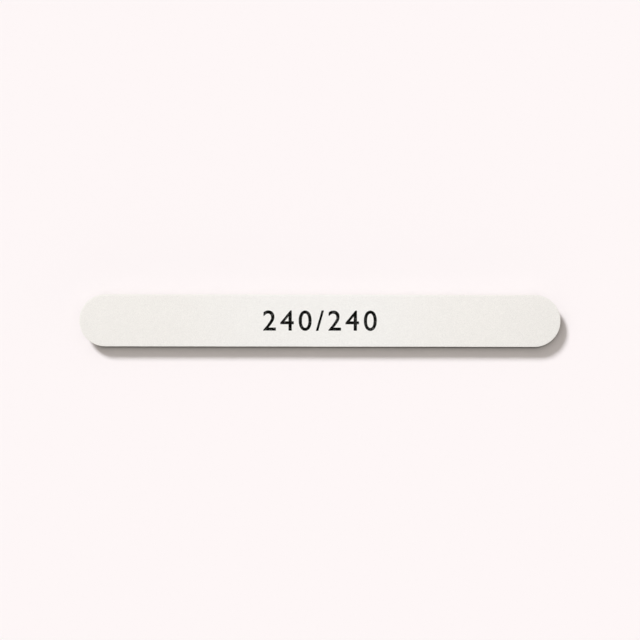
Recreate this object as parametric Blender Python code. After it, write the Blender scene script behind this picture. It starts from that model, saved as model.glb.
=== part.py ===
"""Nail file: a straight board with full-round ends, die-cut from a glued stack of sheets.

A stiff plastic core lies in the middle. On each of its faces come a tape, a foam pad, a second tape,
a paper backing and an abrasive coat. The board lies flat along X, its top face looks up, and the
origin is the middle of the face that it rests on. All lengths are in metres.
"""

import math

import bmesh
import bpy

# The board's outline, seen from above
FILE_LENGTH = 0.178
FILE_WIDTH = 0.0192
END_FACETS = 36

# The sheets, from the middle of the stack outwards
CORE_THICKNESS = 0.00084
CORE_TAPE_THICKNESS = 0.00010
FOAM_THICKNESS = 0.00100
PAPER_TAPE_THICKNESS = 0.00010
PAPER_THICKNESS = 0.00017
COAT_THICKNESS = 0.00011
BOND_GAP = 0.00002

# The cut edge: the die drags the skins towards the core, and the squeezed foam springs back hollow
EDGE_ROLL_WIDTH = 0.00055
UPPER_EDGE_DROP = 0.00004
LOWER_EDGE_DROP = 0.00003
FOAM_DRAW_IN = 0.00012
CORE_EDGE_BREAK = 0.00006
ROLL_FACETS = 4
FOAM_WALL_FACETS = 8

# Points closer than this share of the bond gap are one point
WELD_GAP_SHARE = 0.05
SHARP_ANGLE = math.radians(30)

END_RADIUS = FILE_WIDTH / 2
END_CENTRE_X = FILE_LENGTH / 2 - END_RADIUS


def linear(red, green, blue):
    """A screen colour from 0 to 255 as the linear colour that a material takes."""
    shares = [level / 255 for level in (red, green, blue)]
    return [s / 12.92 if s <= 0.04045 else ((s + 0.055) / 1.055) ** 2.4 for s in shares]


def finish(name, colour, roughness):
    """A non-metallic material."""
    material = bpy.data.materials.new(name)
    material.use_nodes = True
    surface = material.node_tree.nodes["Principled BSDF"]
    surface.inputs["Base Color"].default_value = [*colour, 1]
    surface.inputs["Roughness"].default_value = roughness
    surface.inputs["Metallic"].default_value = 0
    return material


def sweep_round_board(name, section, material):
    """Carries half a cross-section along one side of the board, round an end, back and round the other.

    The section is a list of (inset from the outline, height), from the middle line of the upper face,
    out over the edge, and back to the middle line underneath.
    """
    board = bmesh.new()
    points = [board.verts.new((-END_CENTRE_X, inset - END_RADIUS, height)) for inset, height in section]
    edges = [board.edges.new(pair) for pair in zip(points, points[1:])]
    for direction in (1, -1):
        straight = bmesh.ops.extrude_edge_only(board, edges=edges)["geom"]
        points = [item for item in straight if isinstance(item, bmesh.types.BMVert)]
        edges = [
            item for item in straight
            if isinstance(item, bmesh.types.BMEdge) and set(item.verts) <= set(points)
        ]
        bmesh.ops.translate(board, verts=points, vec=(direction * 2 * END_CENTRE_X, 0, 0))
        turn = bmesh.ops.spin(
            board, geom=points + edges, cent=(direction * END_CENTRE_X, 0, 0), axis=(0, 0, 1),
            angle=math.pi, steps=END_FACETS,
        )["geom_last"]
        edges = [item for item in turn if isinstance(item, bmesh.types.BMEdge)]
    bmesh.ops.remove_doubles(board, verts=board.verts, dist=BOND_GAP * WELD_GAP_SHARE)
    bmesh.ops.recalc_face_normals(board, faces=board.faces)
    mesh = bpy.data.meshes.new(name)
    board.to_mesh(mesh)
    board.free()
    mesh.shade_smooth()
    mesh.set_sharp_from_angle(angle=SHARP_ANGLE)
    mesh.materials.append(material)
    sheet = bpy.data.objects.new(name, mesh)
    bpy.context.scene.collection.objects.link(sheet)
    return sheet


def face_curve(height, edge_drop):
    """One face of a sheet from the middle line outwards: flat, then rolled towards the core at the edge."""
    if not edge_drop:
        return [(END_RADIUS, height), (0, height)]
    shares = [step / ROLL_FACETS for step in range(ROLL_FACETS + 1)]
    rolled = [(EDGE_ROLL_WIDTH * (1 - share), height - edge_drop * share ** 2) for share in shares]
    return [(END_RADIUS, height)] + rolled


def drawn_in_wall(outer_height, inner_height):
    """The foam's cut wall between its two edges, hollow in the middle."""
    wall = []
    for step in range(1, FOAM_WALL_FACETS):
        share = step / FOAM_WALL_FACETS
        hollow_share = 4 * share * (1 - share)
        wall.append((FOAM_DRAW_IN * hollow_share, outer_height + (inner_height - outer_height) * share))
    return wall


def sheet_section(inner, outer, inner_drop, outer_drop, wall):
    """Half the cross-section of a sheet, as distances from the middle of the core."""
    return face_curve(outer, outer_drop) + wall + face_curve(inner, inner_drop)[::-1]


def core_section():
    """Half the cross-section of the core, whose corners the die leaves slightly broken."""
    half = CORE_THICKNESS / 2
    upper_corner = [(END_RADIUS, half), (CORE_EDGE_BREAK, half), (0, half - CORE_EDGE_BREAK)]
    return upper_corner + [(inset, -height) for inset, height in reversed(upper_corner)]


def place_section(section, middle_height, direction):
    """A section given from the middle of the core, set above it or mirrored below it."""
    placed = [(inset, middle_height + direction * distance) for inset, distance in section]
    return placed if direction > 0 else placed[::-1]


def build_file():
    plastic = finish("core_plastic", linear(195, 194, 192), 0.38)
    adhesive = finish("adhesive", linear(226, 220, 204), 0.30)
    foam = finish("foam", linear(222, 220, 215), 0.85)
    paper = finish("paper", linear(234, 230, 220), 0.80)
    abrasive = finish("abrasive", linear(240, 237, 231), 0.92)

    # The sheets on one face of the core, and whether their inner and outer faces roll at the edge
    half_stack = [
        ("core_tape", CORE_TAPE_THICKNESS, adhesive, False, False),
        ("foam_pad", FOAM_THICKNESS, foam, False, True),
        ("paper_tape", PAPER_TAPE_THICKNESS, adhesive, True, True),
        ("paper_backing", PAPER_THICKNESS, paper, True, True),
        ("abrasive_coat", COAT_THICKNESS, abrasive, True, True),
    ]
    sheets_thickness = sum(BOND_GAP + thickness for _, thickness, _, _, _ in half_stack)
    middle_height = sheets_thickness + CORE_THICKNESS / 2

    sweep_round_board("core_strip", place_section(core_section(), middle_height, 1), plastic)
    for side, direction, edge_drop in (("upper", 1, UPPER_EDGE_DROP), ("lower", -1, LOWER_EDGE_DROP)):
        outer = CORE_THICKNESS / 2
        for name, thickness, material, inner_rolls, outer_rolls in half_stack:
            inner = outer + BOND_GAP
            outer = inner + thickness
            inner_drop = edge_drop if inner_rolls else 0
            outer_drop = edge_drop if outer_rolls else 0
            wall = drawn_in_wall(outer - outer_drop, inner - inner_drop) if name == "foam_pad" else []
            section = sheet_section(inner, outer, inner_drop, outer_drop, wall)
            sweep_round_board(f"{side}_{name}", place_section(section, middle_height, direction), material)


for leftover in list(bpy.data.objects):
    bpy.data.objects.remove(leftover)
build_file()
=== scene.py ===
import math

import bmesh
import bpy
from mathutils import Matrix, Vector, noise
from mathutils.bvhtree import BVHTree


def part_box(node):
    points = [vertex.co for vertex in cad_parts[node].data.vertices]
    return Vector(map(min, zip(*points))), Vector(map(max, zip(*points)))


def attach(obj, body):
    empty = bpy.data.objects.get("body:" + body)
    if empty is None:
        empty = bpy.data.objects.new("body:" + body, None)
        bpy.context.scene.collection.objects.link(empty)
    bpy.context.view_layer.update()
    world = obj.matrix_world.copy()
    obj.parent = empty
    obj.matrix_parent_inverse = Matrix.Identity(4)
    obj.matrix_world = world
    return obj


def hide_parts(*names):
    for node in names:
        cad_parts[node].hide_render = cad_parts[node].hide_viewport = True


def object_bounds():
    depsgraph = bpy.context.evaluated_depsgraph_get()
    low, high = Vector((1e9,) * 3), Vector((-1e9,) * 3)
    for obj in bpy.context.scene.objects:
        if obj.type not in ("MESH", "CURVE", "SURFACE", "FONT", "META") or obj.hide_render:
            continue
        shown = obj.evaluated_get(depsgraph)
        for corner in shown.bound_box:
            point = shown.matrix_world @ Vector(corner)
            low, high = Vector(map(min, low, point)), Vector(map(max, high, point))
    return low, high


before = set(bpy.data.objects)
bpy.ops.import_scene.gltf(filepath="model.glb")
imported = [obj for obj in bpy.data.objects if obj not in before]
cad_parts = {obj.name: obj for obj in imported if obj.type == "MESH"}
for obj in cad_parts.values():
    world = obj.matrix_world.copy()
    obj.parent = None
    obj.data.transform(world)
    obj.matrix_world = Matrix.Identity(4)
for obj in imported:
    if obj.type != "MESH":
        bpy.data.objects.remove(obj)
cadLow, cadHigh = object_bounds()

mm = 0.001
weld = 0.001 * mm    # points this close are one point
noise.seed_set(7)    # so that every run moves the points alike
print("frame loaded:", len(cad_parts), "sheets")


# The cut edge, which all the sheets share. Sheets of the lower half are made as if they lay above
# the core, and then mirrored.

cut = {
    "rollWidth": 0.55 * mm,    # the die rolls the outer sheets down over this much of their edge
    "seam": 0.004 * mm,    # what is left open between two glued sheets
    "waveDepth": 0.03 * mm,    # the die's outline isn't perfectly straight
    "waveSize": 21 * mm,
    "waveReach": 2.2 * mm,    # the upper and lower faces follow the wave only this close to the cut
}


def heightOf(node):
    low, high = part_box(node)
    return high.z - low.z


coreLow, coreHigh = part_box("core_strip")
halfWidth = coreHigh.y
endCentre = coreHigh.x - halfWidth    # where the round ends begin
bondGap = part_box("upper_core_tape")[0].z - coreHigh.z
edgeDrop = {    # both tapes are one thickness, and only the outer one is rolled
    side: heightOf(side + "_paper_tape") - heightOf(side + "_core_tape") for side in ("upper", "lower")
}


def insetOf(point):    # how far in from the outline
    return halfWidth - math.hypot(max(abs(point.x) - endCentre, 0), point.y)


def outwardOf(point):    # the outline's normal beside a point
    past = math.copysign(max(abs(point.x) - endCentre, 0), point.x)
    return Vector((past, point.y, 0)).normalized()


def ripple(point, size, seed):    # smooth noise from -1 to 1 with bumps about this size
    return noise.noise(point / size + Vector((seed, seed * 0.37, seed * 0.71)))


def cutWave(point):    # the same for every sheet, as one blow cuts them all
    flat = Vector((point.x, point.y, 0))
    return cut["waveDepth"] * ripple(flat, cut["waveSize"], seed=4.3)


def wrapRound(bm, profile, cell):    # a grid bent once round the outline, its rows at (inset, height)
    runSteps = math.ceil(2 * endCentre / cell)
    turnSteps = math.ceil(math.pi * halfWidth / cell)
    steps = 2 * (runSteps + turnSteps)
    rows = len(profile) - 1
    bmesh.ops.create_grid(bm, x_segments=steps, y_segments=rows, size=0.5)
    for vert in bm.verts:
        inset, height = profile[round((vert.co.y + 0.5) * rows)]
        half, step = divmod(round((vert.co.x + 0.5) * steps), runSteps + turnSteps)
        side = (-1) ** half    # the near side and the right end, then the far side and the left end
        run = min(step, runSteps) / runSteps
        turn = max(step - runSteps, 0) / turnSteps * math.pi
        radius = halfWidth - inset
        x = (2 * run - 1) * endCentre + radius * math.sin(turn)
        vert.co = (side * x, -side * radius * math.cos(turn), height)
    bmesh.ops.remove_doubles(bm, verts=bm.verts, dist=weld)


def rimAt(bm, height):    # the open edge that runs round the sheet at this height
    return [edge for edge in bm.edges if edge.is_boundary and abs(edge.verts[0].co.z - height) < weld]


def closeRim(bm, rim, rise):    # from the rim up or down the rolled edge, and a flat face inside it
    ring = bmesh.ops.extrude_edge_only(bm, edges=rim)["geom"]
    for vert in [item for item in ring if isinstance(item, bmesh.types.BMVert)]:
        vert.co += outwardOf(vert.co) * (insetOf(vert.co) - cut["rollWidth"]) + Vector((0, 0, rise))
    inner = [item for item in ring if isinstance(item, bmesh.types.BMEdge) and item.is_boundary]
    bmesh.ops.edgeloop_fill(bm, edges=inner)


def finishPiece(bm, name, node, material, sharpAngle=30):
    if node and node.startswith("lower"):
        bmesh.ops.scale(bm, vec=(1, 1, -1), verts=bm.verts)
    bmesh.ops.recalc_face_normals(bm, faces=bm.faces)
    mesh = bpy.data.meshes.new(name)
    bm.to_mesh(mesh)
    bm.free()
    mesh.shade_smooth()
    mesh.set_sharp_from_angle(angle=math.radians(sharpAngle))
    mesh.materials.append(material)
    piece = bpy.data.objects.new(name, mesh)
    bpy.context.scene.collection.objects.link(piece)
    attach(piece, "root")
    if node:
        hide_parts(node)
    print(name, "made:", len(mesh.polygons), "faces")
    return piece


def sheetFaces(node):    # the heights of its outer face and of its lowest edge, seen as if above the core
    low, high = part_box(node)
    return (-low.z, -high.z) if node.startswith("lower") else (high.z, low.z)


def evenWall(top, bottom, rows):    # a straight cut, as (inset, height) from the top down
    return [(0, top + (bottom - top) * row / rows) for row in range(rows + 1)]


def makeBand(name, node, profile, cell, roughen, drops, material, sharpAngle=30):
    # a closed sheet whose cut wall is fine: roughen says how far a point of the wall stands out
    bm = bmesh.new()
    wrapRound(bm, profile, cell)
    rims = [rimAt(bm, profile[row][1]) for row in (0, -1)]
    for vert in bm.verts:
        vert.co += outwardOf(vert.co) * (cutWave(vert.co) + roughen(vert.co))
    for rim, drop in zip(rims, drops):
        closeRim(bm, rim, drop)
    return finishPiece(bm, name, node, material, sharpAngle)


# Shader maths

class Signal:    # a node's output, so that sums on it read as sums
    def __init__(self, tree, socket=None):
        self.tree = tree
        self.socket = socket

    def add(self, kind, settings=None, inputs=None, output=None):    # any node, by its type
        node = self.tree.nodes.new("ShaderNode" + kind)
        for name, value in (settings or {}).items():
            setattr(node, name, value)
        for name, value in (inputs or {}).items():    # by a socket's name, or its number where names repeat
            named = [socket for socket in node.inputs if socket.enabled and socket.name == name]
            socket = named[0] if named else node.inputs[name]
            if isinstance(value, Signal):
                self.tree.links.new(value.socket, socket)
            else:
                socket.default_value = value
        if output is None:
            return node
        return Signal(self.tree, next(s for s in node.outputs if s.enabled and s.name == output))

    def maths(self, operation, first, second=0):
        return self.add("Math", {"operation": operation}, {0: first, 1: second}, "Value")

    def vector(self, operation, first, second, output="Vector"):
        return self.add("VectorMath", {"operation": operation}, {0: first, 1: second}, output)

    def __add__(self, other):
        return self.maths("ADD", self, other)

    def __sub__(self, other):
        return self.maths("SUBTRACT", self, other)

    def __rsub__(self, other):
        return self.maths("SUBTRACT", other, self)

    def __mul__(self, other):
        return self.maths("MULTIPLY", self, other)

    __radd__ = __add__
    __rmul__ = __mul__


def startMaterial(name):    # the material, its shader, and object coordinates
    material = bpy.data.materials.new(name)
    material.use_nodes = True
    tree = material.node_tree
    shader = tree.nodes["Principled BSDF"]
    place = Signal(tree).add("TexCoord", output="Object")
    return material, shader, place


def plug(signal, shader, name):
    signal.tree.links.new(signal.socket, shader.inputs[name])


def axisOf(place, name):
    return place.add("SeparateXYZ", None, {"Vector": place}, name)


def stretched(place, factors):    # a pattern that is finer where the factor is larger
    return place.vector("MULTIPLY", place, factors)


def noiseOn(place, size, detail=2, roughness=0.5):    # from 0 to 1, with bumps about this size in metres
    return place.add("TexNoise", None, {
        "Vector": place, "Scale": 1 / size, "Detail": detail, "Roughness": roughness,
    }, "Fac")


def cellsOn(place, size):    # how far from a cell's middle, the cell's own colour, and where its middle is
    cells = place.add("TexVoronoi", {"feature": "F1"}, {"Vector": place, "Scale": 1 / size})
    return [Signal(place.tree, cells.outputs[name]) for name in ("Distance", "Color", "Position")]


def mixColours(factor, first, second):
    return factor.add("Mix", {"data_type": "RGBA"}, {"Factor": factor, "A": first, "B": second}, "Result")


def shaded(colour, tone):    # a colour, darker or lighter by one number
    return tone.add("VectorMath", {"operation": "SCALE"}, {0: colour, "Scale": tone}, "Vector")


def smoothStep(signal, low, high, toLow=0, toHigh=1):
    return signal.add("MapRange", {"interpolation_type": "SMOOTHSTEP"}, {
        "Value": signal, "From Min": low, "From Max": high, "To Min": toLow, "To Max": toHigh,
    }, "Result")


def bump(height, distance):
    return height.add("Bump", None, {"Height": height, "Distance": distance, "Strength": 1}, "Normal")


def outsideOf(place):    # how far outside the cut outline, below zero inside it, and which way that is
    x = axisOf(place, "X")
    past = x - place.maths("MAXIMUM", place.maths("MINIMUM", x, endCentre), -endCentre)
    spoke = place.add("CombineXYZ", None, {"X": past, "Y": axisOf(place, "Y")}, "Vector")
    length = place.add("VectorMath", {"operation": "LENGTH"}, {"Vector": spoke}, "Value")
    away = place.add("VectorMath", {"operation": "NORMALIZE"}, {"Vector": spoke}, "Vector")
    return length - halfWidth, away


# The two abrasive faces: fine white grit bonded in white resin

coat = {
    "cell": 0.206 * mm,    # between the points of the mesh
    "rimInsets": (0, 0.05 * mm, 0.12 * mm, 0.22 * mm, 0.36 * mm),
    "shuffle": 0.05 * mm,    # points are moved about this much, so that no grid shows
    "reliefDepth": 0.02 * mm,
    "reliefMiddle": 0.5,
    "reliefBumps": (    # the size of each kind, its share, and what sets its seed apart
        (0.22 * mm, 0.36, 0),
        (0.9 * mm, 0.13, 9),
        (5 * mm, 0.12, 4),
    ),
    "raggedness": 0.035 * mm,    # how unevenly the grit breaks off at the cut
    "raggedSize": 0.45 * mm,
    "sweepSize": 2.3 * mm,
    "sweepShare": 0.7,
    "sharpAngle": 50,
    "grainSize": 0.11 * mm,
    "facetBump": 0.16,    # each grain leans its own way, and is rounded
    "domeBump": 0.13,
    "dustBump": 0.10,
    "dustSize": 0.3 * mm,
    # painted light: the face is lighter in the middle than at its ends
    "litMiddleColour": (0.902, 0.880, 0.847, 1),
    "dimEndColour": (0.888, 0.858, 0.815, 1),
    "dimEndBlend": (12 * mm, 62 * mm),    # where one becomes the other, out from the middle
    "grainTone": 0.18,
    "cloudSize": 11 * mm,
    "cloudTone": 0.03,
    "denseSize": 1.1 * mm,    # small patches with more grit
    "denseRange": (0.60, 0.78),
    "denseTone": 0.04,
    "rightShadeBlend": (55 * mm, 92 * mm),    # painted shade: the right end is a little darker
    "rightShadeTone": 0.035,
    "farLightGain": 1.1,    # painted light: lighter by this much for each metre towards the far edge, the side towards the light
    "wornColour": (0.80, 0.765, 0.70, 1),    # paper bared where the cut chipped the grit off
    "chipDepth": 0.09 * mm,
    "chipSize": 0.2 * mm,
    "chipBlend": (-0.03 * mm, 0.06 * mm),
    "roughness": 0.88,
    "glintFrom": 0.88,    # the few grains above this shine more
    "glintRoughness": 0.5,
    "specular": 0.08,
}


def gritColour(place, cellColour):    # painted light: the middle is a little cooler and lighter than the ends, the far edge lighter, the right end darker
    x = axisOf(place, "X")
    y = axisOf(place, "Y")
    fromMiddle = smoothStep(place.maths("ABSOLUTE", x), *coat["dimEndBlend"])
    base = mixColours(fromMiddle, coat["litMiddleColour"], coat["dimEndColour"])
    grain = place.add("SeparateColor", None, {"Color": cellColour}, "Red")
    cloud = noiseOn(place, coat["cloudSize"], detail=3)
    dense = smoothStep(noiseOn(place, coat["denseSize"]), *coat["denseRange"])
    rightShading = smoothStep(x, *coat["rightShadeBlend"])
    tone = 1 + coat["grainTone"] * (grain - 0.5) + coat["cloudTone"] * (cloud - 0.5)
    tone = tone + coat["denseTone"] * dense - coat["rightShadeTone"] * rightShading + y * coat["farLightGain"]
    return shaded(base, tone), grain


def makeGritMaterial():
    material, shader, place = startMaterial("whiteGrit")
    distance, cellColour, middle = cellsOn(place, coat["grainSize"])
    colour, grain = gritColour(place, cellColour)
    outside = outsideOf(place)[0]
    chipped = smoothStep(outside + coat["chipDepth"] * noiseOn(place, coat["chipSize"]), *coat["chipBlend"])
    plug(mixColours(chipped, colour, coat["wornColour"]), shader, "Base Color")
    roughness = smoothStep(grain, coat["glintFrom"], 1, coat["roughness"], coat["glintRoughness"])
    plug(roughness, shader, "Roughness")
    shader.inputs["Specular IOR Level"].default_value = coat["specular"]
    offset = place.vector("SUBTRACT", place, middle)
    lean = place.vector("SUBTRACT", cellColour, (0.5, 0.5, 0.5))
    facet = place.vector("DOT_PRODUCT", offset, lean, "Value") * (1 / coat["grainSize"])
    dust = noiseOn(place, coat["dustSize"], detail=3)
    height = coat["facetBump"] * facet - coat["domeBump"] * distance + coat["dustBump"] * dust
    plug(bump(height, coat["grainSize"]), shader, "Normal")
    return material


def reliefAt(point, seed):    # how far the grit lies below its highest grains
    flat = Vector((point.x, point.y, 0))
    relief = coat["reliefMiddle"]
    for size, share, apart in coat["reliefBumps"]:
        relief += share * ripple(flat, size, seed + apart)
    return coat["reliefDepth"] * relief


def makeCoat(name, node, material, seed):
    top, foot = sheetFaces(node)
    drop = edgeDrop[node.split("_")[0]]
    rows = math.ceil((halfWidth - cut["rollWidth"]) / coat["cell"])
    insets = [halfWidth + (cut["rollWidth"] - halfWidth) * row / rows for row in range(rows + 1)]
    insets += reversed(coat["rimInsets"])
    bm = bmesh.new()
    wrapRound(bm, [(inset, top) for inset in insets], coat["cell"])
    rim = [edge for edge in bm.edges if edge.is_boundary and insetOf(edge.verts[0].co) < weld]
    for vert in bm.verts:
        inset = insetOf(vert.co)
        roll = max(1 - inset / cut["rollWidth"], 0)
        flat = Vector((vert.co.x, vert.co.y, 0))
        if roll == 0:
            vert.co += coat["shuffle"] * noise.noise_vector(flat / coat["cell"])
        ragged = ripple(flat, coat["raggedSize"], seed)
        ragged += coat["sweepShare"] * ripple(flat, coat["sweepSize"], seed + 3)
        wave = cutWave(flat) * max(1 - inset / cut["waveReach"], 0)
        vert.co += outwardOf(flat) * (wave + coat["raggedness"] * ragged * roll ** 3)
        vert.co.z = top - reliefAt(flat, seed) - drop * roll ** 2
    skirt = bmesh.ops.extrude_edge_only(bm, edges=rim)["geom"]
    for vert in [item for item in skirt if isinstance(item, bmesh.types.BMVert)]:
        vert.co.z = foot
    lower = [item for item in skirt if isinstance(item, bmesh.types.BMEdge) and item.is_boundary]
    closeRim(bm, lower, drop)
    return finishPiece(bm, name, node, material, coat["sharpAngle"])


grit = makeGritMaterial()
upperCoat = makeCoat("upperAbrasiveFace", "upper_abrasive_coat", grit, seed=3.1)
makeCoat("lowerAbrasiveFace", "lower_abrasive_coat", grit, seed=17.4)


# The printed grit numbers, an ink film that follows the grains

stamp = {
    "numbers": "240/240",
    "height": 7.4 * mm,    # of the slash, which stands a little taller than the digits
    "spacing": 1.25,
    "curveSteps": 6,
    "middle": Vector((0, 0, 0)),
    "straightAngle": 1,    # a bend of the outline below this many degrees is none
    "grid": 0.12 * mm,    # the film is cut this fine, to follow the grains
    "sliver": 0.01 * mm,    # cut points closer than this become one
    "creep": 0.09 * mm,    # how far the ink has spread past the stamp's outline
    "raggedness": 0.055 * mm,
    "margin": 1 * mm,    # of the face that is looked at past the numbers' ends
    "dropFrom": 1,    # metres, from where the film is dropped onto the face
    "lift": 0.006 * mm,
    "film": 0.012 * mm,
    "sharpAngle": 60,
    "colour": (0.0016, 0.0017, 0.0014, 1),
    "leastTone": 0.7,
    "grainTone": 1.2,
    "missedSize": 0.2 * mm,    # specks of face that the ink missed, more in some patches
    "patchSize": 1.5 * mm,
    "patchShare": 0.2,
    "missedRange": (0.74, 0.80),
    "filmBump": 0.2,
    "filmBumpSize": 0.09 * mm,
    "roughness": 0.75,
    "specular": 0.02,
}


def makeInk():
    material, shader, place = startMaterial("blackInk")
    distance, cellColour = cellsOn(place, coat["grainSize"])[:2]
    colour, grain = gritColour(place, cellColour)
    specks = noiseOn(place, stamp["missedSize"], detail=3)
    patches = noiseOn(place, stamp["patchSize"])
    missed = smoothStep(specks + stamp["patchShare"] * patches, *stamp["missedRange"])
    dusty = shaded(stamp["colour"][:3], stamp["leastTone"] + stamp["grainTone"] * grain)
    plug(mixColours(missed, dusty, colour), shader, "Base Color")
    shader.inputs["Roughness"].default_value = stamp["roughness"]
    shader.inputs["Specular IOR Level"].default_value = stamp["specular"]
    fine = noiseOn(place, stamp["filmBumpSize"], detail=3)
    height = stamp["filmBump"] * fine - coat["domeBump"] * distance
    plug(bump(height, coat["grainSize"]), shader, "Normal")
    return material


def numbersOutline():    # the font's flat shape, at its real height about its middle
    curve = bpy.data.curves.new("gritNumbers", "FONT")
    curve.body = stamp["numbers"]
    curve.space_character = stamp["spacing"]
    curve.resolution_u = stamp["curveSteps"]
    words = bpy.data.objects.new("gritNumbers", curve)
    bpy.context.scene.collection.objects.link(words)
    bpy.context.view_layer.update()
    flat = bpy.data.meshes.new_from_object(words)
    bpy.data.objects.remove(words)
    bm = bmesh.new()
    bm.from_mesh(flat)
    bpy.data.meshes.remove(flat)
    bmesh.ops.remove_doubles(bm, verts=bm.verts, dist=weld)
    low = Vector([min(vert.co[axis] for vert in bm.verts) for axis in range(3)])
    high = Vector([max(vert.co[axis] for vert in bm.verts) for axis in range(3)])
    size = stamp["height"] / (high.y - low.y)
    for vert in bm.verts:
        vert.co = (vert.co - (low + high) / 2) * size + stamp["middle"]
    return bm, (high - low) * size / 2


def outlineNormal(vert):    # which way is out of the ink beside a point of its outline
    out = Vector()
    for edge in [edge for edge in vert.link_edges if edge.is_boundary]:
        along = (edge.verts[1].co - edge.verts[0].co).normalized()
        across = edge.verts[0].co - edge.link_faces[0].calc_center_median()
        out += (across - along * across.dot(along)).normalized()
    return out.normalized()


def faceBelow(reach):    # the upper face near the numbers, for rays to hit
    mesh = upperCoat.data
    near = [face for face in mesh.polygons if face.normal.z > 0.5 and abs(face.center.x) < reach]
    return BVHTree.FromPolygons([vert.co for vert in mesh.vertices], [face.vertices for face in near])


def makeStamp(material):
    bm, half = numbersOutline()
    straight = math.radians(stamp["straightAngle"])
    bmesh.ops.dissolve_limit(bm, angle_limit=straight, verts=bm.verts, edges=bm.edges)
    for axis in range(2):
        across = Vector((axis == 0, axis == 1, 0))
        for step in range(math.floor(2 * half[axis] / stamp["grid"])):
            bmesh.ops.bisect_plane(
                bm, geom=bm.verts[:] + bm.edges[:] + bm.faces[:], dist=weld, plane_no=across,
                plane_co=stamp["middle"] + across * ((step + 0.5) * stamp["grid"] - half[axis]),
            )
    bmesh.ops.remove_doubles(bm, verts=bm.verts, dist=stamp["sliver"])
    bmesh.ops.triangulate(bm, faces=bm.faces)
    bmesh.ops.dissolve_degenerate(bm, dist=stamp["sliver"], edges=bm.edges)
    shifts = [(vert, outlineNormal(vert) * stamp["creep"]) for vert in bm.verts if vert.is_boundary]
    for vert, shift in shifts:
        vert.co += shift + stamp["raggedness"] * noise.noise_vector(vert.co / coat["grainSize"])
    ground = faceBelow(half.x + stamp["margin"])
    for vert in bm.verts:
        hit = ground.ray_cast(Vector((vert.co.x, vert.co.y, stamp["dropFrom"])), Vector((0, 0, -1)))[0]
        vert.co.z = hit.z + stamp["lift"] - stamp["film"]
    top = bmesh.ops.extrude_face_region(bm, geom=bm.faces[:], use_keep_orig=True)["geom"]
    raised = [item for item in top if isinstance(item, bmesh.types.BMVert)]
    bmesh.ops.translate(bm, verts=raised, vec=(0, 0, stamp["film"]))
    return finishPiece(bm, "gritNumbers", None, material, stamp["sharpAngle"])


makeStamp(makeInk())


# Paper backings and tapes, thin lines in the cut edge

paper = {
    "cell": 0.11 * mm,
    "rows": 4,
    "fray": 0.018 * mm,    # fuzz along the cut
    "fraySize": 0.13 * mm,
    "driftSize": 0.7 * mm,    # its slower bumps
    "driftShare": 0.6,
    "fibreSize": 0.22 * mm,
    "fibreSquash": (1, 1, 7),    # the fibres lie flat in the sheet
    "fibreRange": (0.38, 0.66),
    "fibreDepth": 0.03 * mm,
    "colour": (0.78, 0.75, 0.69, 1),
    "fibreColour": (0.71, 0.67, 0.60, 1),
    "roughness": 0.85,
}
tape = {
    "cell": 0.14 * mm,
    "rows": 2,
    "squeeze": 0.022 * mm,    # the glue bulges out and shrinks back along the cut
    "squeezeSize": 1.3 * mm,
    "recess": 0.012 * mm,    # and stands back this much in the mean
    "colour": (0.73, 0.68, 0.575, 1),
    "leastTone": 0.86,
    "cloudSize": 0.6 * mm,
    "cloudTone": 0.24,
    "roughness": 0.32,
    "dullRoughness": 0.6,
    "dullRange": (0.3, 0.7),
    "dimpleSize": 0.15 * mm,
    "dimpleDepth": 0.015 * mm,
}


def makePaperMaterial():
    material, shader, place = startMaterial("backingPaper")
    fibres = noiseOn(stretched(place, paper["fibreSquash"]), paper["fibreSize"], detail=4, roughness=0.6)
    clear = smoothStep(fibres, *paper["fibreRange"])
    plug(mixColours(clear, paper["fibreColour"], paper["colour"]), shader, "Base Color")
    shader.inputs["Roughness"].default_value = paper["roughness"]
    plug(bump(fibres, paper["fibreDepth"]), shader, "Normal")
    return material


def makeTapeMaterial():
    material, shader, place = startMaterial("adhesiveTape")
    cloud = noiseOn(place, tape["cloudSize"], detail=3)
    plug(shaded(tape["colour"][:3], tape["leastTone"] + tape["cloudTone"] * cloud), shader, "Base Color")
    dull = smoothStep(cloud, *tape["dullRange"], tape["roughness"], tape["dullRoughness"])
    plug(dull, shader, "Roughness")
    plug(bump(noiseOn(place, tape["dimpleSize"]), tape["dimpleDepth"]), shader, "Normal")
    return material


def makePaper(side, material, seed):
    node = side + "_paper_backing"
    outer, bottom = sheetFaces(node)
    top = outer - edgeDrop[side] + bondGap - cut["seam"]    # its resin side fills the bond gap

    def frayed(point):
        drift = paper["driftShare"] * ripple(point, paper["driftSize"], seed)
        return paper["fray"] * (ripple(point, paper["fraySize"], seed) + drift)

    makeBand(side + "BackingPaper", node, evenWall(top, bottom, paper["rows"]), paper["cell"], frayed,
             (edgeDrop[side], edgeDrop[side]), material)


def makeTape(side, place, material, seed):    # its glue fills the bond gaps on both its faces
    node = f"{side}_{place}_tape"
    drop = edgeDrop[side] if place == "paper" else 0
    outer, bottom = sheetFaces(node)
    fill = bondGap - cut["seam"]

    def squeezed(point):
        return tape["squeeze"] * ripple(point, tape["squeezeSize"], seed) - tape["recess"]

    wall = evenWall(outer - drop + fill, bottom - fill, tape["rows"])
    makeBand(side + place.capitalize() + "Tape", node, wall, tape["cell"], squeezed, (drop, drop),
             material)


paperCream = makePaperMaterial()
glue = makeTapeMaterial()
for sideSeed, side in enumerate(("upper", "lower")):
    makePaper(side, paperCream, seed=2.2 + 5 * sideSeed)
    for placeSeed, place in enumerate(("core", "paper")):
        makeTape(side, place, glue, seed=6.1 + 5 * sideSeed + 2 * placeSeed)


# The two foam pads: squeezed by the die, then sprung back hollow, with their cut cells open

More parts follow.
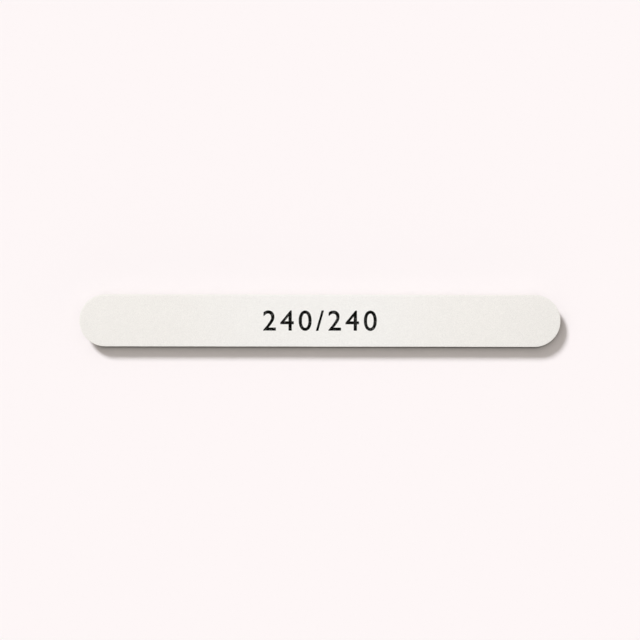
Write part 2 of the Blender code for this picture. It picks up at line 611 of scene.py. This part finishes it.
foam = {
    "cell": 0.068 * mm,
    "rows": 14,
    "drawIn": 0.12 * mm,
    "poreSize": 0.30 * mm,
    "poreDepth": 0.055 * mm,
    "poreCore": 0.18,    # a pore's floor and its rim, as shares of the pore size
    "poreRim": 0.58,
    "bubbleSize": 0.17 * mm,    # the fine bubbles between them
    "bubbleWall": (0.02, 0.34),    # from a wall's middle to a bubble's floor, as shares of its size
    "openRange": (0.05, 0.75),    # not every bubble is cut open
    # painted shade: the floors of open bubbles are darker by this share
    "bubbleShadeTone": 0.25,
    "wobble": 0.09 * mm,    # no wall is quite straight
    "wobbleSize": 0.11 * mm,
    "fineSize": 0.09 * mm,
    "cloudSize": 3 * mm,
    "tone": 0.98,
    "fineTone": 0.06,
    "cloudTone": 0.05,
    "fineBump": 0.3,
    "bumpDepth": 0.045 * mm,
    "colour": (0.72, 0.705, 0.675, 1),
    # painted shade: the cut pores are coloured darker than the walls
    "poreShadeColour": (0.61, 0.59, 0.555, 1),
    "roughness": 0.8,
    "specular": 0.2,
}


def poreAt(point, seed):    # 0 on the walls between two cut bubbles and 1 in the middle of one
    fromMiddle = noise.voronoi(point / foam["poreSize"] + Vector((seed, 0, 0)))[0][0]
    share = (foam["poreRim"] - fromMiddle) / (foam["poreRim"] - foam["poreCore"])
    share = min(max(share, 0), 1)
    return share * share * (3 - 2 * share)


def bentPlace(place):    # the place, moved about a little
    lean = place.add("TexNoise", None, {
        "Vector": place, "Scale": 1 / foam["wobbleSize"], "Detail": 1,
    }, "Color")
    shift = place.vector("SUBTRACT", lean, (0.5, 0.5, 0.5))
    return place.vector("ADD", place, stretched(shift, (foam["wobble"],) * 3))


def bubblesOn(place):    # 1 on the floor of a bubble that is cut open
    bent = bentPlace(place)
    cellColour = cellsOn(bent, foam["bubbleSize"])[1]
    opened = place.add("SeparateColor", None, {"Color": cellColour}, "Red")
    wall = place.add("TexVoronoi", {"feature": "DISTANCE_TO_EDGE"}, {
        "Vector": bent, "Scale": 1 / foam["bubbleSize"],
    }, "Distance")
    return smoothStep(wall, *foam["bubbleWall"]) * smoothStep(opened, *foam["openRange"])


def makeFoamMaterial():
    material, shader, place = startMaterial("whiteFoam")
    pore = place.add("Attribute", {"attribute_name": "pore"}, None, "Fac")
    fine = noiseOn(place, foam["fineSize"], detail=3)
    cloud = noiseOn(place, foam["cloudSize"])
    bubble = bubblesOn(place)
    # painted shade: pores and open bubbles are coloured darker, where shade falls in them
    tone = foam["tone"] + foam["fineTone"] * fine + foam["cloudTone"] * cloud - foam["bubbleShadeTone"] * bubble
    plug(shaded(mixColours(pore, foam["colour"], foam["poreShadeColour"]), tone), shader, "Base Color")
    shader.inputs["Roughness"].default_value = foam["roughness"]
    shader.inputs["Specular IOR Level"].default_value = foam["specular"]
    plug(bump(foam["fineBump"] * fine - bubble, foam["bumpDepth"]), shader, "Normal")
    return material


def makeFoamPad(name, side, material, seed):
    node = side + "_foam_pad"
    outer, bottom = sheetFaces(node)
    top = outer - edgeDrop[side]
    profile = []
    for row in range(foam["rows"] + 1):
        share = row / foam["rows"]
        hollow = 4 * share * (1 - share)    # 1 halfway down the wall
        profile.append((foam["drawIn"] * hollow, top + (bottom - top) * share))

    def pitted(point):    # the two rims stay whole
        return -foam["poreDepth"] * poreAt(point, seed) * (bottom + weld < point.z < top - weld)

    pad = makeBand(name, node, profile, foam["cell"], pitted, (edgeDrop[side], 0), material)
    # how far into a pore each point lies, for the pores' painted shade
    pore = pad.data.attributes.new("pore", "FLOAT", "POINT")
    mirror = Vector((1, 1, -1 if side == "lower" else 1))
    for vert in pad.data.vertices:
        pore.data[vert.index].value = poreAt(vert.co * mirror, seed)


foamWhite = makeFoamMaterial()
makeFoamPad("upperFoamPad", "upper", foamWhite, seed=5.2)
makeFoamPad("lowerFoamPad", "lower", foamWhite, seed=8.6)


# The core: hard plastic strip, whose edge the die first shears smooth and then tears

core = {
    "cell": 0.12 * mm,
    "rows": 8,
    "cornerBreak": 0.06 * mm,
    "sharpAngle": 50,
    "streakSize": 0.22 * mm,
    "streakDepth": 0.006 * mm,
    "streakDraw": 0.1,    # streaks hardly change with height
    "tornShare": 0.55,    # of the thickness, from below
    "tornWander": 0.22,
    "wanderSize": 1.1 * mm,
    "nickSize": 0.3 * mm,    # and the torn line's small nicks, with their share
    "nickShare": 0.5,
    "tornStep": 0.012 * mm,    # how far the torn part stands back
    "tornDepth": 0.012 * mm,
    "crumbSize": 0.17 * mm,
    "colour": (0.54, 0.53, 0.515, 1),
    "tornColour": (0.61, 0.60, 0.585, 1),
    "tone": 0.985,
    "streakTone": 0.03,
    "crumbTone": 0.08,
    "scratchSize": 0.12 * mm,    # scratches and dust are in the material, finer than the mesh
    "scratchDraw": (1, 1, 0.15),
    "dustSize": 0.10 * mm,
    "dustDraw": (1, 1, 1.6),
    "scratchBump": 0.3,
    "bumpDepth": 0.03 * mm,
    "roughness": 0.36,
    "tornRoughness": 0.7,
}


def makeCoreMaterial():
    material, shader, place = startMaterial("corePlastic")
    scratches = noiseOn(stretched(place, core["scratchDraw"]), core["scratchSize"], detail=3)
    dust = noiseOn(stretched(place, core["dustDraw"]), core["dustSize"], detail=4, roughness=0.6)
    torn = place.add("Attribute", {"attribute_name": "torn"}, None, "Fac")
    tone = core["tone"] + core["streakTone"] * scratches + torn * (core["crumbTone"] * (dust - 0.5))
    plug(shaded(mixColours(torn, core["colour"], core["tornColour"]), tone), shader, "Base Color")
    plug(torn * (core["tornRoughness"] - core["roughness"]) + core["roughness"], shader, "Roughness")
    height = (1 - torn) * scratches * core["scratchBump"] + torn * dust
    plug(bump(height, core["bumpDepth"]), shader, "Normal")
    return material


def tornAt(point):    # 1 where the plastic tore, below a wandering line, and 0 where the die sheared it
    share = (point.z - coreLow.z) / (coreHigh.z - coreLow.z)
    along = Vector((point.x, point.y, 0))
    nicks = core["nickShare"] * ripple(along, core["nickSize"], seed=2.8)
    line = core["tornShare"] + core["tornWander"] * (ripple(along, core["wanderSize"], seed=6.2) + nicks)
    return min(max((line - share) * core["rows"] + 0.5, 0), 1)


def cutFace(point):    # sheared above the torn line, crumbling below it
    drawn = Vector((point.x, point.y, point.z * core["streakDraw"]))
    streak = core["streakDepth"] * (ripple(drawn, core["streakSize"], seed=3.7) - 0.5)
    crumb = core["tornDepth"] * ripple(point, core["crumbSize"], seed=5.1) - core["tornStep"]
    torn = tornAt(point)
    return (1 - torn) * streak + torn * crumb


def makeCore():
    wall = evenWall(coreHigh.z - core["cornerBreak"], coreLow.z + core["cornerBreak"], core["rows"])
    profile = [(core["cornerBreak"], coreHigh.z)] + wall + [(core["cornerBreak"], coreLow.z)]
    strip = makeBand("coreStrip", "core_strip", profile, core["cell"], cutFace, (0, 0),
                     makeCoreMaterial(), core["sharpAngle"])
    torn = strip.data.attributes.new("torn", "FLOAT", "POINT")
    for vert in strip.data.vertices:
        torn.data[vert.index].value = tornAt(vert.co)


makeCore()


# Plain floor with painted shade round the file, camera straight above, soft light from the upper left

studio = {
    "floorReach": 30,    # metres, so that its end doesn't show from low down
    "floorColour": (0.991, 0.930, 0.930, 1),
    "litBounce": (0.47, 0.455, 0.45, 1),    # what the floor throws back on the cut edge
    "shadeBounce": (0.94, 0.90, 0.89, 1),
    "shadeFacing": (0.2, 0.75),    # from no painted shade to full, by how squarely the outline turns from the light
    "shadeDepth": 0.66,    # painted shade: the floor's colour is darker close to the file, on the shaded side most
    "shadeWidth": 1.35 * mm,
    "contactShadeDepth": 0.30,    # and darkest where the two meet, a painted contact shadow
    "contactShadeWidth": 0.5 * mm,
    "contactShadePower": 2,    # so that it ends sooner
    "litFacing": (-0.9, -0.2),    # from squarely facing the light to turned from it
    "litFade": 0.8,    # the share of the lit side's faint painted shade that is gone by then
    # painted shade on the lit side, faint, close to the file
    "litShadeDepth": 0.165,
    "litShadeWidth": 1.5 * mm,
    "skyLevel": 0.42,
    "fillLevel": 1.4,    # a long low light on the shaded side
    "fillAcross": (0, 0.9),    # from its ends to its middle
    "fillRise": (0.1, 0.35),    # from full strength low down to none
    "fillOnTop": 0.026,    # how much of it reaches a face that looks up
    "skyColour": (1, 0.975, 0.92),    # warm in the shade, and the lamp makes up for it
    "towardsLight": Vector((-3.44, 4.8, 4.11)),
    "lightSpread": math.radians(13),
    "lens": 85,
    "nearest": 0.01,    # metres from the lens
    "photoSide": 640,
    "photoCentre": (319.95, 320.7),    # where the file's middle is in the photograph
    "photoLength": 481.1,
    "photoTurn": math.radians(0.08),
}
fromLight = (studio["towardsLight"] * Vector((-1, -1, 0))).normalized()


def whatSees(start):    # 1 for the camera and for mirrors and glass, 0 for light that is scattered
    paths = start.add("LightPath")
    seen = Signal(start.tree, paths.outputs["Is Camera Ray"])
    for name in ("Is Glossy Ray", "Is Transmission Ray"):
        seen = seen.maths("MAXIMUM", seen, Signal(start.tree, paths.outputs[name]))
    return seen


def fading(distance, depth, width, power=1):    # full depth at the outline, and less further out
    share = distance.maths("POWER", distance * (1 / width), power)
    return depth * distance.maths("EXPONENT", share * -1)


def floorShade(distance, facing, shade):    # the share of the floor's brightness left near the file by the painted shade
    shadeSide = (fading(distance, studio["shadeDepth"], studio["shadeWidth"])
                 + fading(distance, studio["contactShadeDepth"], studio["contactShadeWidth"], studio["contactShadePower"]))
    lit = 1 - studio["litFade"] * smoothStep(facing, *studio["litFacing"])
    litSideShade = fading(distance, studio["litShadeDepth"], studio["litShadeWidth"])
    return 1 - shade * shadeSide - lit * litSideShade


def makeFloor():
    material, shader, place = startMaterial("paleTable")
    outside, away = outsideOf(place)
    distance = place.maths("MAXIMUM", outside, 0)
    facing = place.vector("DOT_PRODUCT", away, fromLight, "Value")
    shade = smoothStep(facing, *studio["shadeFacing"])
    # the floor's colour is painted darker near the file, a painted contact shadow
    shown = shaded(studio["floorColour"][:3], floorShade(distance, facing, shade))
    bounced = mixColours(shade, studio["litBounce"], studio["shadeBounce"])
    plug(mixColours(whatSees(place), bounced, shown), shader, "Base Color")
    shader.inputs["Roughness"].default_value = 1
    shader.inputs["Specular IOR Level"].default_value = 0
    bm = bmesh.new()
    bmesh.ops.create_grid(bm, x_segments=1, y_segments=1, size=studio["floorReach"])
    mesh = bpy.data.meshes.new("floor")
    bm.to_mesh(mesh)
    bm.free()
    mesh.materials.append(material)
    floor = bpy.data.objects.new("floor", mesh)
    bpy.context.scene.collection.objects.link(floor)


def makeWorld():
    world = bpy.data.worlds.new("paleRoom")
    bpy.context.scene.world = world
    world.use_nodes = True
    tree = world.node_tree
    tree.nodes.clear()
    start = Signal(tree)
    direction = start.add("TexCoord", output="Generated")
    opposite = start.vector("DOT_PRODUCT", direction, fromLight, "Value")
    low = smoothStep(axisOf(direction, "Z"), *studio["fillRise"], studio["fillLevel"], 0)
    fill = smoothStep(opposite, *studio["fillAcross"]) * low
    light = start.add("Background", None, {
        "Color": (*studio["skyColour"], 1), "Strength": fill + studio["skyLevel"],
    }, "Background")
    shown = start.add("Background", None, {"Color": studio["floorColour"], "Strength": 1}, "Background")
    mix = start.add("MixShader", None, {0: whatSees(start), 1: light, 2: shown}, "Shader")
    start.add("OutputWorld", None, {"Surface": mix})


def makeSun():    # what the sky and the fill leave, so that a face that looks up is lit at a level of 1
    lamp = bpy.data.lights.new("windowLight", "SUN")
    lamp.angle = studio["lightSpread"]
    direction = studio["towardsLight"].normalized()
    skyOnTop = studio["skyLevel"] + studio["fillOnTop"]
    lamp.energy = (1 - skyOnTop) * math.pi / direction.z
    lamp.color = [(1 - skyOnTop * sky) / (1 - skyOnTop) for sky in studio["skyColour"]]
    sun = bpy.data.objects.new("windowLight", lamp)
    sun.rotation_euler = direction.to_track_quat("Z", "Y").to_euler()
    bpy.context.scene.collection.objects.link(sun)


def makeCamera():
    lens = bpy.data.cameras.new("overheadCamera")
    lens.lens = studio["lens"]
    camera = bpy.data.objects.new("overheadCamera", lens)
    pixel = (cadHigh.x - cadLow.x) / studio["photoLength"]
    shownSide = pixel * studio["photoSide"]
    height = shownSide / lens.sensor_width * lens.lens
    middle = studio["photoSide"] / 2
    across = (middle - studio["photoCentre"][0]) * pixel
    up = (studio["photoCentre"][1] - middle) * pixel
    camera.location = (across, up, cadHigh.z + height)
    camera.rotation_euler.z = studio["photoTurn"]
    lens.clip_start = studio["nearest"]
    bpy.context.scene.collection.objects.link(camera)
    bpy.context.scene.camera = camera


makeFloor()
makeWorld()
makeSun()
makeCamera()
bpy.context.scene.view_settings.view_transform = "Standard"
print("studio set")
